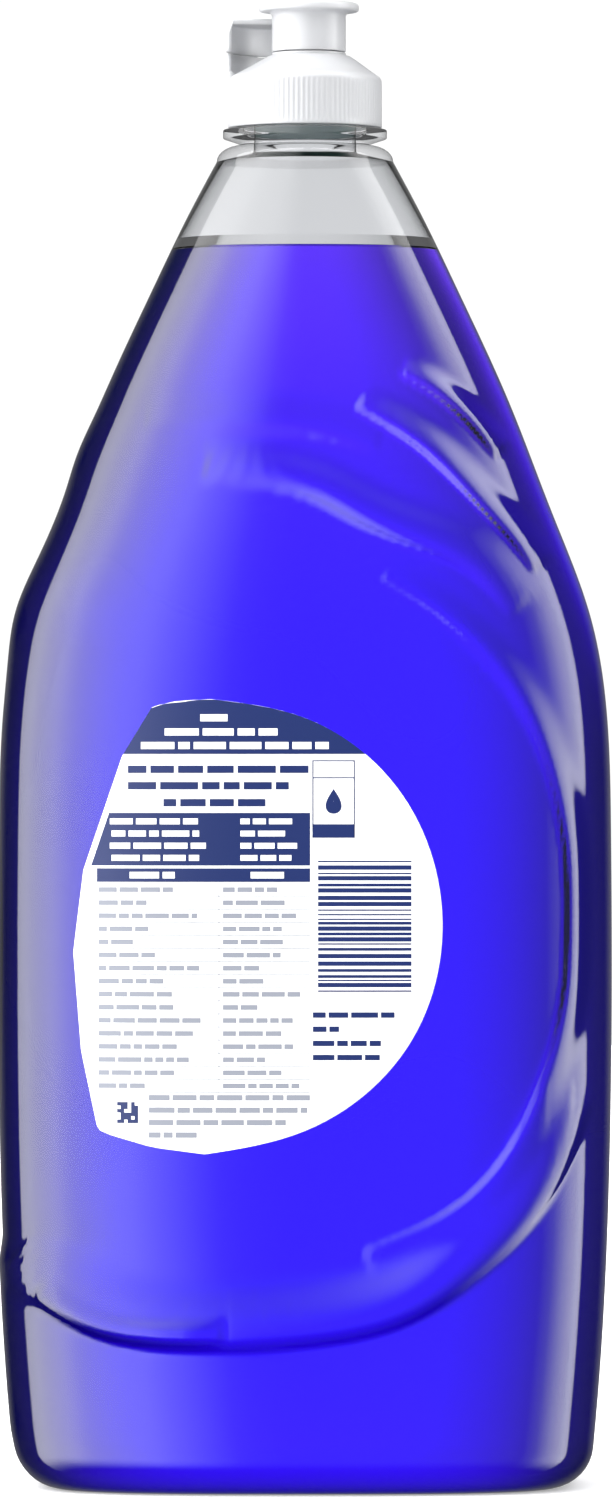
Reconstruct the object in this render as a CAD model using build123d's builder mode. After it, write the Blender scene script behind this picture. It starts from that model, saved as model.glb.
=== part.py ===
"""A clear squeeze bottle of dish soap with two film labels and a flip-top closure.

Frame: +Z up, origin at the middle of the standing face, on the neck's axis.
-Y is the side of the back label, +Y the side of the front label.
Lengths are in millimetres and angles in degrees.
"""

import os
from math import cos, pi, radians, sin

from build123d import *

# ---- Bottle body -----------------------------------------------------------------------
body_width = 109.3        # widest, across X
body_depth = 63.5         # deepest, across Y
shoulder_top = 238.0      # where the flank meets the neck's root
wall = 0.5                # blown wall
floor_wall = 1.0          # wall under the soap
heel_radius = 7.0         # round between flank and standing face
foot_width = 6.0          # standing ring, measured inward from the heel's round
push_up = 2.5             # height of the recess inside the standing ring
push_up_slope = 2.5       # how much narrower the recess is at its top
section_points = 16       # points round one section

# Flank stations from the base up: height, width and depth as shares of the sizes above, and
# the section's superellipse exponent, where 2 is an ellipse and more is boxier.
FLANK = [
    (0.000, 0.930, 0.930, 3.2),
    (0.084, 0.962, 0.980, 3.4),
    (0.190, 0.987, 0.998, 3.6),
    (0.320, 1.000, 1.000, 3.6),
    (0.500, 0.999, 0.995, 3.6),
    (0.588, 0.984, 0.980, 3.5),
    (0.660, 0.928, 0.938, 3.3),
    (0.735, 0.807, 0.866, 3.1),
    (0.819, 0.666, 0.756, 2.8),
    (0.903, 0.500, 0.645, 2.5),
    (0.966, 0.368, 0.545, 2.2),
]

# ---- Neck ------------------------------------------------------------------------------
root_radius = 15.9        # round top of the flank
neck_radius = 10.9        # outside of the neck under its thread
neck_wall = 1.9           # wall of the neck, and so its bore
neck_waist = 11.7         # neck between the root and the support ring
root_rise = 2.9           # height of the round between root and waist
root_step = 0.05          # how far the round starts inside the flank's top
ring_radius = 14.75       # support ring
ring_rim = 1.6            # thickness of the ring's rim
ring_slope = 1.0          # rise of the ring's sloped underside
finish_height = 9.5       # from the ring's top to the lip
thread_depth = 1.0        # room kept round the neck for its fine thread, which isn't modelled

# ---- Soap and labels -------------------------------------------------------------------
headspace = 15.7          # soap's surface, below the shoulder's top
fill_clearance = 0.12     # between soap and wall
label_film = 0.12         # thickness of a label
glue_line = 0.05          # between label and wall
label_middle = 101.0      # height of the middle of a label
label_corner = 1.5        # radius of a label's corners
front_label_width = 0.7   # front label's width as a share of the back label's
front_label_height = 0.9  # its height as a share

# The back label's outline about its own middle, seen from outside: a sweep through these
# points, closed by a bowed side and a straight run up to the first corner. The front label
# is its mirror image and smaller, so that the soap's lens doesn't show it past the back one.
LABEL_SWEEP = [
    (-27.4, 38.9),
    (-16.6, 40.2),
    (0.2, 36.8),
    (16.4, 24.4),
    (24.3, 0.3),
    (18.1, -21.3),
    (0.2, -36.0),
    (-17.7, -40.2),
    (-36.6, -36.0),
]
LABEL_BOW = (-41.0, -4.5)
LABEL_SHOULDER = (-32.3, 30.2)

# ---- Closure ---------------------------------------------------------------------------
hinge_azimuth = 145.0     # where the hinge stands round the neck
skirt_wall = 1.65         # from the skirt's bore to its knurled face
skirt_lift = 0.3          # gap between skirt and support ring
skirt_height = 8.9        # straight part, up to the cone
cone_rise = 4.0           # from the skirt's top to the collar
thread_clearance = 0.3    # between the neck's thread and the skirt's bore
lip_clearance = 0.2       # between the neck's lip and the deck
plug_clearance = 0.3      # between the neck's bore and the plug seal
plug_wall = 0.7
plug_depth = 3.0
deck_rise = 2.6           # height of the hollow under the collar
collar_height = 0.6
cone_round = 1.5
knurl_count = 96
knurl_radius = 0.16
knurl_margin = 0.7        # plain band above and below the ribs
nozzle_radius = 4.2
nozzle_height = 3.5
nozzle_wall = 1.2
nozzle_roof = 1.0
orifice_radius = 1.6

# ---- Lid and hinge ---------------------------------------------------------------------
lid_offset = 0.85         # lid's axis, from the neck's axis away from the hinge
stem_radius = 6.65
stem_wall = 1.25
stem_height = 7.1         # from the parting face to the flange
flange_overhang = 2.35    # thumb flange, out from the stem
flange_thickness = 1.6
flange_round = 0.7
stem_flare = 1.0          # fillet under the flange
pin_clearance = 0.3       # between the sealing pin and the orifice
pin_reach = 0.6           # how far the pin stands into the orifice
parting_gap = 0.2         # between the closed lid and the closure
hinge_stand = 0.65        # hinge axis, out from the skirt's face
hinge_clearance = 0.3     # from the hinge axis to the hinge walls
hinge_wall = 0.95
shell_height = 5.9        # hinge wall of the lid, above the parting face
shell_span = 84.0         # angle that the lid's hinge wall covers
post_span = 70.0          # angle that the closure's hinge wall covers
post_foot = 1.6           # how far the post's foot reaches under the cone

# ---- Worked-out heights and radii --------------------------------------------------------
ring_bottom = shoulder_top + root_rise + 0.3
ring_top = ring_bottom + ring_slope + ring_rim
lip = ring_top + finish_height
soap_level = shoulder_top - headspace
skirt_bottom = ring_top + skirt_lift
skirt_top = skirt_bottom + skirt_height
deck = lip + lip_clearance
collar_bottom = skirt_top + cone_rise
collar_top = collar_bottom + collar_height
lid_bottom = collar_top + parting_gap
flange_radius = stem_radius + flange_overhang
flange_bottom = lid_bottom + stem_height
flange_top = flange_bottom + flange_thickness
nozzle_top = collar_top + nozzle_height
neck_bore = neck_radius - neck_wall
skirt_bore = neck_radius + thread_depth + thread_clearance
skirt_radius = skirt_bore + skirt_wall
hinge_radius = skirt_radius + hinge_stand
hinge_outer = hinge_radius - hinge_clearance
hinge_inner = hinge_outer - hinge_wall

cap_turn = radians(hinge_azimuth - 180)
cap_x = (cos(cap_turn), sin(cap_turn), 0)                    # points away from the hinge
cap_plane = Plane(origin=(0, 0, 0), x_dir=cap_x, z_dir=(0, 0, 1))
lid_axis_at = (lid_offset * cap_x[0], lid_offset * cap_x[1], 0)
lid_plane = Plane(origin=lid_axis_at, x_dir=cap_x, z_dir=(0, 0, 1))
lid_section = Plane(origin=lid_axis_at, x_dir=cap_x, z_dir=(cap_x[1], -cap_x[0], 0))


def superellipse(half_width, half_depth, exponent):
    """Points of a superellipse, |x / half_width|^n + |y / half_depth|^n = 1.

    Each is a point of the ellipse, moved out along its radius until it meets the curve.
    """
    points = []
    for step in range(section_points):
        turn = 2 * pi * step / section_points
        c, s = cos(turn), sin(turn)
        reach = (abs(c) ** exponent + abs(s) ** exponent) ** (-1 / exponent)
        points.append((half_width * c * reach, half_depth * s * reach))
    return points


def section(height, half_width, half_depth, exponent):
    """One closed level section of the flank."""
    with BuildSketch(Plane.XY.offset(height)) as outline:
        with BuildLine():
            Spline(*superellipse(half_width, half_depth, exponent), periodic=True)
        make_face()
    return outline.sketch


def flank_sections(inset, bottom):
    """The flank's sections, drawn in by inset, from the given bottom to the shoulder's top."""
    levels = []
    for share, wide, deep, exponent in FLANK:
        height = max(share * shoulder_top, bottom)
        half_width = body_width / 2 * wide - inset
        half_depth = body_depth / 2 * deep - inset
        levels.append(section(height, half_width, half_depth, exponent))
    with BuildSketch(Plane.XY.offset(shoulder_top)) as mouth:
        Circle(root_radius - inset)
    return levels + [mouth.sketch]


def flank(inset, bottom):
    """The flank as a closed solid, drawn in by inset, with its heel rounded to match."""
    with BuildPart() as block:
        loft(flank_sections(inset, bottom))
        fillet(block.edges().group_by(Axis.Z)[0], heel_radius - inset)
    return block.part


def recess_sections(grow):
    """Bottom and top of the push-up, made larger by grow all round."""
    edge = heel_radius + foot_width - grow
    half_width = body_width / 2 * FLANK[0][1] - edge
    half_depth = body_depth / 2 * FLANK[0][2] - edge
    narrow = (half_width - push_up_slope, half_depth - push_up_slope)
    exponent = FLANK[0][3]
    return [
        section(0, half_width, half_depth, exponent),
        section(push_up + grow, *narrow, exponent),
    ]


def arc_plane(span):
    """A radial section plane at the start of an arc that is centred on the hinge."""
    turn = radians(hinge_azimuth - span / 2)
    return Plane(origin=(0, 0, 0), x_dir=(cos(turn), sin(turn), 0), z_dir=(sin(turn), -cos(turn), 0))


# ---- Bottle ----------------------------------------------------------------------------
with BuildPart() as bottle:
    add(flank(0, 0))
    add(flank(wall, floor_wall), mode=Mode.SUBTRACT)
    # The push-up: its roof is added inside the flank, then its hollow is cut from below.
    loft(recess_sections(floor_wall))
    loft(recess_sections(0), mode=Mode.SUBTRACT)
    # Neck root, support ring and finish.
    with BuildSketch(Plane.XZ):
        with BuildLine():
            round_width = root_radius - root_step - neck_waist
            EllipticalCenterArc((neck_waist, shoulder_top), round_width, root_rise, arc_size=90)
            Polyline(
                (neck_waist, shoulder_top + root_rise),
                (neck_waist, ring_bottom),
                (ring_radius, ring_bottom + ring_slope),
                (ring_radius, ring_top),
                (neck_radius, ring_top),
                (neck_radius, lip),
                (neck_bore, lip),
                (neck_bore, shoulder_top + root_rise / 2),
                (root_radius - wall + root_step, shoulder_top),
                (root_radius - root_step, shoulder_top),
            )
        make_face()
    revolve(axis=Axis.Z)

bottle.part.label = "bottle"


# ---- Soap ------------------------------------------------------------------------------
with BuildPart() as soap:
    add(flank(wall + fill_clearance, floor_wall + fill_clearance))
    split(bisect_by=Plane.XY.offset(soap_level), keep=Keep.BOTTOM)
    loft(recess_sections(floor_wall + fill_clearance), mode=Mode.SUBTRACT)

soap.part.label = "soap"


# ---- Labels ----------------------------------------------------------------------------
def label(plane, wide, high):
    """A label on a face of the bottle: its outline cut from a thin skin over the flank.

    wide and high scale the outline as listed, and a negative wide mirrors it.
    """
    sweep = [(wide * x, high * y) for x, y in LABEL_SWEEP]
    bow = (wide * LABEL_BOW[0], high * LABEL_BOW[1])
    shoulder = (wide * LABEL_SHOULDER[0], high * LABEL_SHOULDER[1])
    with BuildPart() as film:
        loft(flank_sections(-glue_line - label_film, 0))
        with BuildSketch(plane) as outline:
            with BuildLine():
                Spline(*sweep)
                ThreePointArc(sweep[-1], bow, shoulder)
                Line(shoulder, sweep[0])
            make_face()
            fillet(outline.vertices(), label_corner)
        extrude(amount=body_depth, mode=Mode.INTERSECT)
        loft(flank_sections(-glue_line, 0), mode=Mode.SUBTRACT)
    return film


back_face = Plane(origin=(0, 0, label_middle), x_dir=(1, 0, 0), z_dir=(0, -1, 0))
front_face = Plane(origin=(0, 0, label_middle), x_dir=(-1, 0, 0), z_dir=(0, 1, 0))

back_label = label(back_face, 1, 1)
back_label.part.label = "back_label"

front_label = label(front_face, -front_label_width, front_label_height)
front_label.part.label = "front_label"


# ---- Closure ---------------------------------------------------------------------------
def wedge_profile(plane, points):
    """A closed polygon on a radial section plane, as (radius, height) points."""
    with BuildSketch(plane) as outline:
        with BuildLine():
            Polyline(*points, close=True)
        make_face()
    return outline.sketch


with BuildPart() as closure:
    # Skirt, cone, deck and plug seal turn about the neck's axis.
    with BuildSketch(Plane.XZ) as closure_section:
        with BuildLine():
            Polyline(
                (0, collar_bottom),
                (stem_radius, collar_bottom),
                (skirt_radius, skirt_top),
                (skirt_radius, skirt_bottom),
                (skirt_bore, skirt_bottom),
                (skirt_bore, deck),
                (neck_bore - plug_clearance, deck),
                (neck_bore - plug_clearance, deck - plug_depth),
                (neck_bore - plug_clearance - plug_wall, deck - plug_depth),
                (neck_bore - plug_clearance - plug_wall, deck),
                (nozzle_radius + plug_wall, deck + deck_rise),
                (0, deck + deck_rise),
                close=True,
            )
        make_face()
        corner = closure_section.vertices().filter_by_position(
            Axis.X, skirt_radius - 0.01, skirt_radius + 0.01
        )
        fillet(corner.sort_by(Axis.Y)[-1], cone_round)
    revolve(axis=Axis.Z)
    # Knurl on the skirt.
    with BuildSketch(cap_plane.offset(skirt_bottom + knurl_margin)):
        with PolarLocations(skirt_radius, knurl_count):
            Circle(knurl_radius)
    extrude(amount=skirt_height - 2 * knurl_margin, mode=Mode.SUBTRACT)
    # Collar and nozzle stand on the lid's axis.
    with BuildSketch(lid_plane.offset(collar_bottom - collar_height)):
        Circle(stem_radius)
    extrude(amount=2 * collar_height)
    with BuildSketch(lid_plane.offset(collar_bottom)):
        Circle(nozzle_radius)
    extrude(amount=nozzle_top - collar_bottom)
    with BuildSketch(lid_plane.offset(deck + 1)):
        Circle(nozzle_radius - nozzle_wall)
    extrude(amount=nozzle_top - nozzle_roof - deck - 1, mode=Mode.SUBTRACT)
    with BuildSketch(lid_plane.offset(deck + 1)):
        Circle(orifice_radius)
    extrude(amount=nozzle_top - deck, mode=Mode.SUBTRACT)
    # Post under the hinge, growing out of the cone.
    post = wedge_profile(
        arc_plane(post_span),
        [
            (hinge_inner - post_foot, skirt_top + 0.3),
            (skirt_radius - 0.2, skirt_top - 0.5),
            (hinge_outer, skirt_top + 1.8),
            (hinge_outer, collar_top),
            (hinge_inner, collar_top),
            (hinge_inner, skirt_top + 1.4),
        ],
    )
    revolve(post, axis=Axis.Z, revolution_arc=post_span)

closure.part.label = "closure"


# ---- Lid -------------------------------------------------------------------------------
with BuildPart() as lid:
    # Stem, thumb flange and sealing pin turn about the lid's own axis.
    pin_radius = orifice_radius - pin_clearance
    stem_bore = stem_radius - stem_wall
    with BuildSketch(lid_section) as lid_profile:
        with BuildLine():
            Polyline(
                (0, flange_top),
                (flange_radius, flange_top),
                (flange_radius, flange_bottom),
                (stem_radius, flange_bottom),
                (stem_radius, lid_bottom),
                (stem_bore, lid_bottom),
                (stem_bore, flange_bottom),
                (pin_radius, flange_bottom),
                (pin_radius, nozzle_top - pin_reach),
                (0, nozzle_top - pin_reach),
                close=True,
            )
        make_face()
        rim = lid_profile.vertices().filter_by_position(
            Axis.X, flange_radius - 0.01, flange_radius + 0.01
        )
        fillet(rim, flange_round)
        root = lid_profile.vertices().filter_by_position(
            Axis.X, stem_radius - 0.01, stem_radius + 0.01
        )
        fillet(root.sort_by(Axis.Y)[-1], stem_flare)
    revolve(axis=Axis(lid_axis_at, (0, 0, 1)))
    # Hinge wall on the skirt's circle, and the roof that ties it to the stem.
    shell = wedge_profile(
        arc_plane(shell_span),
        [
            (hinge_inner, lid_bottom),
            (hinge_outer, lid_bottom),
            (hinge_outer, lid_bottom + shell_height),
            (hinge_inner, lid_bottom + shell_height),
        ],
    )
    revolve(shell, axis=Axis.Z, revolution_arc=shell_span)
    roof = wedge_profile(
        arc_plane(shell_span),
        [
            (stem_radius - lid_offset - stem_wall / 2, lid_bottom + shell_height - hinge_wall),
            (hinge_inner, lid_bottom + shell_height - hinge_wall),
            (hinge_inner, lid_bottom + shell_height),
            (stem_radius - lid_offset - stem_wall / 2, lid_bottom + shell_height),
        ],
    )
    revolve(roof, axis=Axis.Z, revolution_arc=shell_span)

lid.part.label = "lid"


os.makedirs("parts", exist_ok=True)
for piece in (bottle, soap, back_label, front_label, closure, lid):
    name = piece.part.label
    export_step(piece.part, f"parts/{name}.step")
    print(name, len(piece.part.solids()), "solid", round(piece.part.volume / 1000, 2), "mL")
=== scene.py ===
"""The finished look of a clear squeeze bottle of blue dish soap with a flip-top closure.

The bottle is blown PET with moulded sweeps in its flank, the soap fills it to the shoulder, two
printed film labels lie back to back on its faces, and the closure is one moulding of natural
polypropylene whose lid turns on a film hinge. Every shape is a surface worked out on a grid.
Sizes are millimetres until a mesh is made, and the mesh is in metres.
"""

import logging
import math
from dataclasses import dataclass
from enum import Enum

import bpy
import numpy as np
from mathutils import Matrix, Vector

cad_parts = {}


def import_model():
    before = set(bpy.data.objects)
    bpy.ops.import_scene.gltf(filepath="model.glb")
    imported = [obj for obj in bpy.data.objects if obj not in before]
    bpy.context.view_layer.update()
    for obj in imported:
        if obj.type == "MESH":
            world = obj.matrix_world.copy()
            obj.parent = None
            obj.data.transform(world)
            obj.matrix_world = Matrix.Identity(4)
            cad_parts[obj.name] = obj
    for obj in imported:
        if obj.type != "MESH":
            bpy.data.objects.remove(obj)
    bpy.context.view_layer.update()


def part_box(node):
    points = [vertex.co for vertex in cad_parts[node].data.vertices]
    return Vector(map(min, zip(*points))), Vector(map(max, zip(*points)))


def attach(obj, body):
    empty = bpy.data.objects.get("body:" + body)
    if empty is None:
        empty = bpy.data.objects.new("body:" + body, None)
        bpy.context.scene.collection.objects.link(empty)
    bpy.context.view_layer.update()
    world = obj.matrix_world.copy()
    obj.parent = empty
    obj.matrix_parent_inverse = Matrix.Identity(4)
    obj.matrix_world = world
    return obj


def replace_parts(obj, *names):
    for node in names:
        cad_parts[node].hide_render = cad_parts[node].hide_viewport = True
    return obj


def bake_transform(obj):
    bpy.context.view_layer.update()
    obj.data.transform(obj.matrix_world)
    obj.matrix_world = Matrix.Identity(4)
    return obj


MM = 0.001
LOG = logging.getLogger("dish_soap_bottle")

# What comes off the CAD bottle's width and depth, so that the splined flank keeps near its box.
WIDTH_TRIM = 0.15
DEPTH_TRIM = 0.05
# Heights up to the lip: from the shoulder's top, and from the top of the support ring.
NECK_HEIGHT = 15.3
FINISH_HEIGHT = 9.5
# The camera's height.
EYE_HEIGHT = 132.2


# ---- Small numeric helpers ----------------------------------------------------------------


def smoothstep(low: float, high: float, value: np.ndarray) -> np.ndarray:
    """Run from 0 at low to 1 at high along 3t^2 - 2t^3."""
    t = np.clip((np.asarray(value, float) - low) / (high - low), 0, 1)
    return t * t * (3 - 2 * t)


def natural_spline(knots: np.ndarray, values: np.ndarray, at: np.ndarray) -> np.ndarray:
    """Value of the natural cubic spline through (knots, values).

    The second derivatives solve the usual three-term system, with none at either end.

    Args:
        knots: Rising positions of the knots.
        values: The spline's value at each knot.
        at: Positions to read it at.

    Returns:
        The spline's values at those positions.
    """
    knots, values = np.asarray(knots, float), np.asarray(values, float)
    gap, count = np.diff(knots), len(knots)
    system, right = np.eye(count), np.zeros(count)
    inner = np.arange(1, count - 1)
    system[inner, inner - 1] = gap[:-1]
    system[inner, inner] = 2 * (gap[:-1] + gap[1:])
    system[inner, inner + 1] = gap[1:]
    slope = np.diff(values) / gap
    right[1:-1] = 6 * np.diff(slope)
    bend = np.linalg.solve(system, right)
    at = np.clip(np.asarray(at, float), knots[0], knots[-1])
    i = np.clip(np.searchsorted(knots, at, side="right") - 1, 0, count - 2)
    h, left, after = gap[i], at - knots[i], knots[i + 1] - at
    cubic = (bend[i] * after**3 + bend[i + 1] * left**3) / (6 * h)
    from_left = (values[i] / h - bend[i] * h / 6) * after
    from_right = (values[i + 1] / h - bend[i + 1] * h / 6) * left
    return cubic + (from_left + from_right)


def spline_path(points: list[tuple[float, float]], count: int) -> np.ndarray:
    """A smooth path through points: one natural spline for each coordinate over chord length.

    Args:
        points: Places on the path, in order.
        count: Points on the finished path, evenly spaced over the chord length.

    Returns:
        The path as (count, 2).
    """
    points = np.asarray(points, float)
    chord = np.concatenate([[0], np.cumsum(np.linalg.norm(np.diff(points, axis=0), axis=1))])
    at = np.linspace(0, chord[-1], count)
    return np.stack([natural_spline(chord, points[:, k], at) for k in (0, 1)], axis=1)


def rounded(corners: list[tuple[float, float, float]], steps: int = 5) -> np.ndarray:
    """A profile through corners, each rounded by a curve that touches both sides.

    The curve is (1 - t)^2 start + 2 t (1 - t) corner + t^2 end, with its ends where an arc of the
    corner's radius would touch, or halfway along the shorter side.

    Args:
        corners: (radius from the axis, height, radius of the round) for each corner.
        steps: Points on each round.

    Returns:
        An array of (radius, height) points.
    """
    made = [np.array([corners[0][:2]])]
    for before, here, after in zip(corners, corners[1:], corners[2:]):
        p, q, r = (np.array(c[:2], float) for c in (before, here, after))
        back, on = (p - q) / np.linalg.norm(p - q), (r - q) / np.linalg.norm(r - q)
        half = math.acos(float(np.clip(back @ on, -1, 1))) / 2
        run = min(here[2] / math.tan(half), np.linalg.norm(p - q) / 2, np.linalg.norm(r - q) / 2)
        t = np.linspace(0, 1, steps)[:, None]
        start, end = q + back * run, q + on * run
        made.append((1 - t) ** 2 * start + 2 * t * (1 - t) * q + t**2 * end)
    made.append(np.array([corners[-1][:2]]))
    return np.concatenate(made)


def refined(profile: np.ndarray, longest: float) -> np.ndarray:
    """The same profile with no run longer than the given length.

    Args:
        profile: Points as (radius, height).
        longest: The longest run allowed.

    Returns:
        The profile with points added along its long runs.
    """
    made = [profile[:1]]
    for a, b in zip(profile, profile[1:]):
        pieces = max(1, math.ceil(float(np.linalg.norm(b - a)) / longest))
        t = np.linspace(0, 1, pieces + 1)[1:, None]
        made.append(a + (b - a) * t)
    return np.concatenate(made)


# ---- Meshes --------------------------------------------------------------------------------


class Ends(Enum):
    """How a grid of rows is finished at its first and last row."""

    POLES = "poles"
    LOOP = "loop"


def make_object(name: str, points: np.ndarray, faces: list, smooth: bool = True) -> bpy.types.Object:
    """Put points and faces into a new object at the origin.

    Args:
        name: The object's name.
        points: Points in millimetres.
        faces: Corner numbers of each face.
        smooth: Whether the faces are shaded smooth.

    Returns:
        The new object, whose mesh is in metres.
    """
    mesh = bpy.data.meshes.new(name)
    mesh.from_pydata((np.asarray(points, float) * MM).tolist(), [], faces)
    mesh.validate()
    mesh.polygons.foreach_set("use_smooth", np.full(len(mesh.polygons), smooth))
    made = bpy.data.objects.new(name, mesh)
    bpy.context.scene.collection.objects.link(made)
    return made


def quads(rows: int, columns: int, wrap_rows: bool, wrap_columns: bool) -> np.ndarray:
    """Corner numbers of the quads of a grid.

    Args:
        rows: Rows of points.
        columns: Columns of points.
        wrap_rows: Whether the last row joins the first.
        wrap_columns: Whether the last column joins the first.

    Returns:
        Four corner numbers for each quad, in the order column, then row.
    """
    i = np.arange(rows if wrap_rows else rows - 1)[:, None]
    j = np.arange(columns if wrap_columns else columns - 1)[None, :]
    i2, j2 = (i + 1) % rows, (j + 1) % columns
    corners = [i * columns + j, i * columns + j2, i2 * columns + j2, i2 * columns + j]
    return np.stack(np.broadcast_arrays(*corners), axis=-1).reshape(-1, 4)


def tube(name: str, grid: np.ndarray, ends: Ends) -> bpy.types.Object:
    """A surface closed round its columns.

    Args:
        name: The piece's name.
        grid: Points as (row, column, xyz), with the rows in order up the outside.
        ends: POLES gathers the first and last row to one point each, LOOP joins them.

    Returns:
        The new object.
    """
    rows, columns = grid.shape[:2]
    if ends is Ends.LOOP:
        faces = quads(rows, columns, True, True)
        return make_object(name, grid.reshape(-1, 3), faces.tolist())
    body = grid[1:-1]
    faces = quads(rows - 2, columns, False, True).tolist()
    low = body.shape[0] * columns
    high = low + 1
    top = low - columns
    ring = np.arange(columns)
    after = (ring + 1) % columns
    faces += np.stack([after, ring, np.full(columns, low)], axis=1).tolist()
    faces += np.stack([top + ring, top + after, np.full(columns, high)], axis=1).tolist()
    poles = np.stack([grid[0].mean(axis=0), grid[-1].mean(axis=0)])
    return make_object(name, np.concatenate([body.reshape(-1, 3), poles]), faces)


# ---- Finishes ------------------------------------------------------------------------------


def linear(hex_colour: str, alpha: float = 1.0) -> tuple[float, float, float, float]:
    """An sRGB hex colour as linear RGBA.

    Args:
        hex_colour: Six hex digits.
        alpha: The fourth value.

    Returns:
        Red, green, blue and alpha.
    """
    parts = [int(hex_colour[i : i + 2], 16) / 255 for i in (0, 2, 4)]
    parts = [c / 12.92 if c <= 0.04045 else ((c + 0.055) / 1.055) ** 2.4 for c in parts]
    return (*parts, alpha)


def add_node(tree: bpy.types.NodeTree, kind: str, settings: dict, links: dict) -> bpy.types.Node:
    """Add one node.

    Args:
        tree: The node tree.
        kind: The node's type name.
        settings: Attributes by name, and inputs by their name or number.
        links: Output sockets by the name or number of the input that they feed.

    Returns:
        The new node.
    """
    node = tree.nodes.new(kind)
    for key, value in settings.items():
        if isinstance(key, int) or key in node.inputs:
            node.inputs[key].default_value = value
        else:
            setattr(node, key, value)
    for key, socket in links.items():
        tree.links.new(socket, node.inputs[key])
    return node


def new_material(name: str) -> tuple[bpy.types.Material, bpy.types.NodeTree, bpy.types.Node]:
    """An empty node material with its output."""
    material = bpy.data.materials.new(name)
    material.use_nodes = True
    material.node_tree.nodes.clear()
    output = add_node(material.node_tree, "ShaderNodeOutputMaterial", {}, {})
    return material, material.node_tree, output


def dress(piece: bpy.types.Object, *materials: bpy.types.Material) -> None:
    """Give a piece its materials, in slot order."""
    piece.data.materials.clear()
    for material in materials:
        piece.data.materials.append(material)


def bump_noise(tree: bpy.types.NodeTree, grain_mm: float, depth_mm: float) -> bpy.types.Node:
    """A bump whose grain and depth are real sizes, read from Object coordinates.

    Args:
        tree: The material's node tree.
        grain_mm: Width of one grain.
        depth_mm: Height of the relief.

    Returns:
        The bump node.
    """
    place = add_node(tree, "ShaderNodeTexCoord", {}, {})
    noise = add_node(
        tree,
        "ShaderNodeTexNoise",
        {"Scale": 1 / (grain_mm * MM), "Detail": 2.0},
        {"Vector": place.outputs["Object"]},
    )
    settings = {"Strength": 1.0, "Distance": depth_mm * MM}
    return add_node(tree, "ShaderNodeBump", settings, {"Height": noise.outputs["Fac"]})


@dataclass(frozen=True)
class ClearPet:
    """Blown PET: water clear and glossy, with the faint ripple that blowing leaves."""

    index: float = 1.575
    ripple_mm: float = 22.0
    ripple_depth_mm: float = 0.02

    def build(self) -> bpy.types.Material:
        """Make the material."""
        material, tree, output = new_material("blown_clear_pet")
        ripple = bump_noise(tree, self.ripple_mm, self.ripple_depth_mm)
        shader = add_node(
            tree,
            "ShaderNodeBsdfPrincipled",
            {
                "Base Color": linear("FCFDFF"),
                "Roughness": 0.015,
                "IOR": self.index,
                "Transmission Weight": 1.0,
            },
            {"Normal": ripple.outputs["Normal"]},
        )
        tree.links.new(shader.outputs["BSDF"], output.inputs["Surface"])
        return material


@dataclass(frozen=True)
class EmptyPet:
    """PET with air on both sides, above the soap: a faint grey veil under a clear shine."""

    colour: str = "F6F7F9"
    index: float = 1.02
    shine_index: float = 1.4

    def build(self) -> bpy.types.Material:
        """Make the material. Its index near 1 leaves what is behind the thin wall unbent."""
        material, tree, output = new_material("empty_clear_pet")
        shader = add_node(
            tree,
            "ShaderNodeBsdfPrincipled",
            {
                "Base Color": linear(self.colour),
                "Roughness": 0.0,
                "IOR": self.index,
                "Transmission Weight": 1.0,
                "Coat Weight": 1.0,
                "Coat IOR": self.shine_index,
                "Coat Roughness": 0.02,
            },
            {},
        )
        tree.links.new(shader.outputs["BSDF"], output.inputs["Surface"])
        return material


@dataclass(frozen=True)
class BlueSoap:
    """Dyed liquid detergent: clear, and a deeper blue the further light goes through it."""

    index: float = 1.37
    density: float = 115.0

    def build(self) -> bpy.types.Material:
        """Make the material. The absorption takes red and green and leaves blue."""
        material, tree, output = new_material("dyed_liquid_soap")
        shader = add_node(
            tree,
            "ShaderNodeBsdfPrincipled",
            {
                "Base Color": (1, 1, 1, 1),
                "Roughness": 0.0,
                "IOR": self.index,
                "Transmission Weight": 1.0,
            },
            {},
        )
        dye = add_node(
            tree,
            "ShaderNodeVolumeAbsorption",
            {"Color": (0.5, 0.17, 0.996, 1), "Density": self.density},
            {},
        )
        tree.links.new(shader.outputs["BSDF"], output.inputs["Surface"])
        tree.links.new(dye.outputs["Volume"], output.inputs["Volume"])
        return material


@dataclass(frozen=True)
class PrintedFilm:
    """White polypropylene label film, or ink on it: smooth, with a soft satin face."""

    name: str
    colour: str
    roughness: float = 0.32

    def build(self) -> bpy.types.Material:
        """Make the material, with the faint orange peel of a pressed label."""
        material, tree, output = new_material(self.name)
        peel = bump_noise(tree, 1.5, 0.002)
        shader = add_node(
            tree,
            "ShaderNodeBsdfPrincipled",
            {"Base Color": linear(self.colour), "Roughness": self.roughness, "IOR": 1.49},
            {"Normal": peel.outputs["Normal"]},
        )
        tree.links.new(shader.outputs["BSDF"], output.inputs["Surface"])
        return material


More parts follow.
